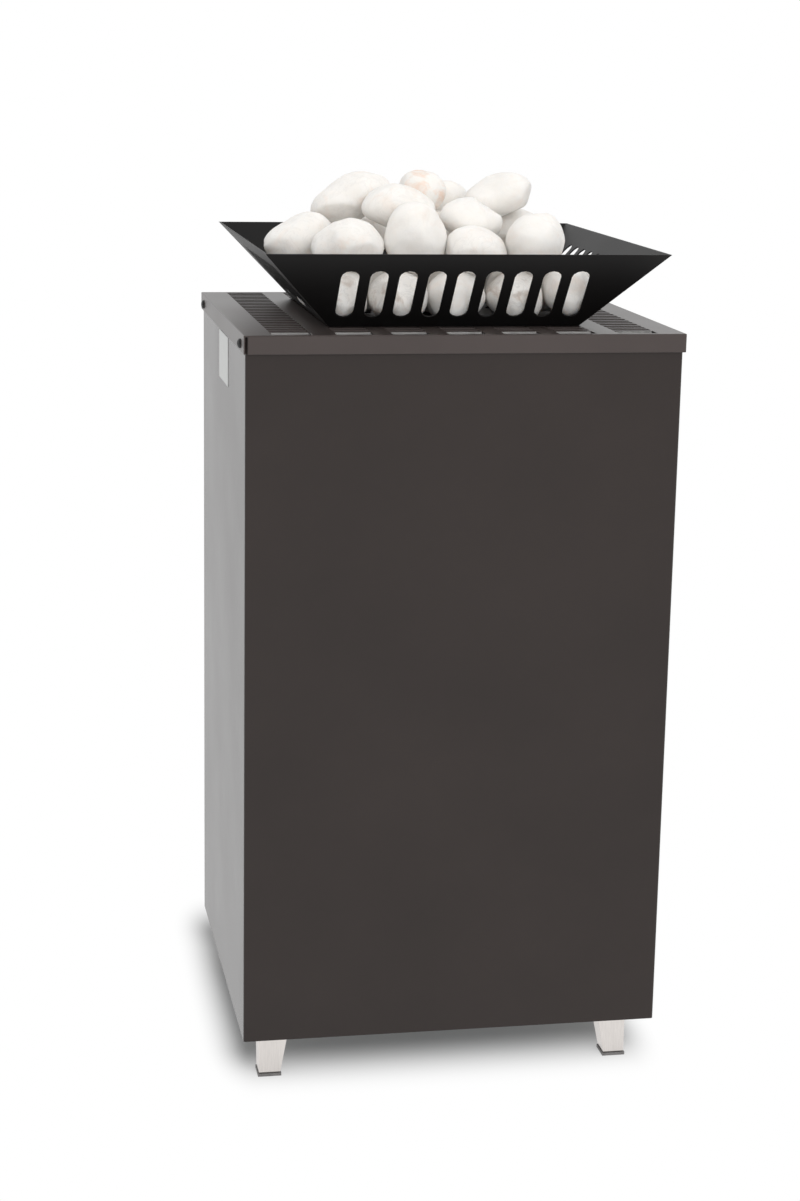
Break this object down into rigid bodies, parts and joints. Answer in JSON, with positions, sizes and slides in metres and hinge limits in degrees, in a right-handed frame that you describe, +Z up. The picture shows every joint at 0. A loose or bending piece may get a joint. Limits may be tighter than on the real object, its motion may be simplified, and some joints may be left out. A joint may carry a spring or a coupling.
{
  "type": "sauna heater",
  "caption": "Floor-standing electric sauna heater: tall folded-steel casing on levelling feet, slotted lid and a lift-off slotted tray heaped with rounded stones.",
  "frame": {"origin": "on the floor, under the middle of the casing", "axes": "+Z up, the front faces -Y, +X to the right of someone facing the front"},
  "size_m": [0.4354, 0.405, 0.9066],
  "materials": {
    "anthracite_paint": "satin baked paint with a fine grain",
    "black_paint": "satin heat-proof paint",
    "black_screw": "black zinc",
    "galvanised_sheet": "galvanised",
    "foot_metal": "brushed",
    "black_plastic": "moulded",
    "element_sheath": "heat-stained",
    "block_ceramic": "unglazed",
    "silicone_lead": "matt",
    "bar_brass": "bright",
    "plate_foil": "blank foil",
    "white_stone": "tumbled"
  },
  "bodies": {
    "casing": {"casing_wrap": "anthracite_paint", "rear_panel": "anthracite_paint", "lid": "anthracite_paint", "lid_screw_front_left": "black_screw", "lid_screw_front_right": "black_screw", "lid_screw_rear_left": "black_screw", "lid_screw_rear_right": "black_screw", "base_plate": "galvanised_sheet", "inner_shield": "galvanised_sheet", "terminal_box": "galvanised_sheet", "element_strap_left": "galvanised_sheet", "element_strap_right": "galvanised_sheet", "foot_front_left": "foot_metal", "foot_front_right": "foot_metal", "foot_rear_left": "foot_metal", "foot_rear_right": "foot_metal", "cable_gland": "black_plastic", "gland_locknut": "black_plastic", "heating_element_1": "element_sheath", "heating_element_2": "element_sheath", "heating_element_3": "element_sheath", "terminal_block": "block_ceramic", "phase_lead_1": "silicone_lead", "phase_lead_2": "silicone_lead", "phase_lead_3": "silicone_lead", "neutral_lead": "silicone_lead", "neutral_bar": "bar_brass", "rating_plate": "plate_foil"},
    "tray": {"stone_tray": "black_paint", "stone_01": "white_stone", "stone_02": "white_stone", "stone_03": "white_stone", "stone_04": "white_stone", "stone_05": "white_stone", "stone_06": "white_stone", "stone_07": "white_stone", "stone_08": "white_stone", "stone_09": "white_stone", "stone_10": "white_stone", "stone_11": "white_stone", "stone_12": "white_stone", "stone_13": "white_stone", "stone_14": "white_stone", "stone_15": "white_stone", "stone_16": "white_stone", "stone_17": "white_stone", "stone_18": "white_stone", "stone_19": "white_stone", "stone_20": "white_stone", "stone_21": "white_stone", "stone_22": "white_stone", "stone_23": "white_stone", "stone_24": "white_stone", "stone_25": "white_stone", "stone_26": "white_stone", "stone_27": "white_stone"},
    "glide_front_left": {"glide_front_left": "black_plastic"},
    "glide_front_right": {"glide_front_right": "black_plastic"},
    "glide_rear_left": {"glide_rear_left": "black_plastic"},
    "glide_rear_right": {"glide_rear_right": "black_plastic"}
  },
  "joints": [
    {"name": "tray_lift", "type": "slide", "parent": "casing", "child": "tray", "axis": [0, 0, 1], "range_m": [0, 0.25]},
    {"name": "glide_front_left_screw", "type": "slide", "parent": "casing", "child": "glide_front_left", "axis": [0, 0, -1], "range_m": [0, 0.01]},
    {"name": "glide_front_right_screw", "type": "slide", "parent": "casing", "child": "glide_front_right", "axis": [0, 0, -1], "range_m": [0, 0.01]},
    {"name": "glide_rear_left_screw", "type": "slide", "parent": "casing", "child": "glide_rear_left", "axis": [0, 0, -1], "range_m": [0, 0.01]},
    {"name": "glide_rear_right_screw", "type": "slide", "parent": "casing", "child": "glide_rear_right", "axis": [0, 0, -1], "range_m": [0, 0.01]}
  ]
}
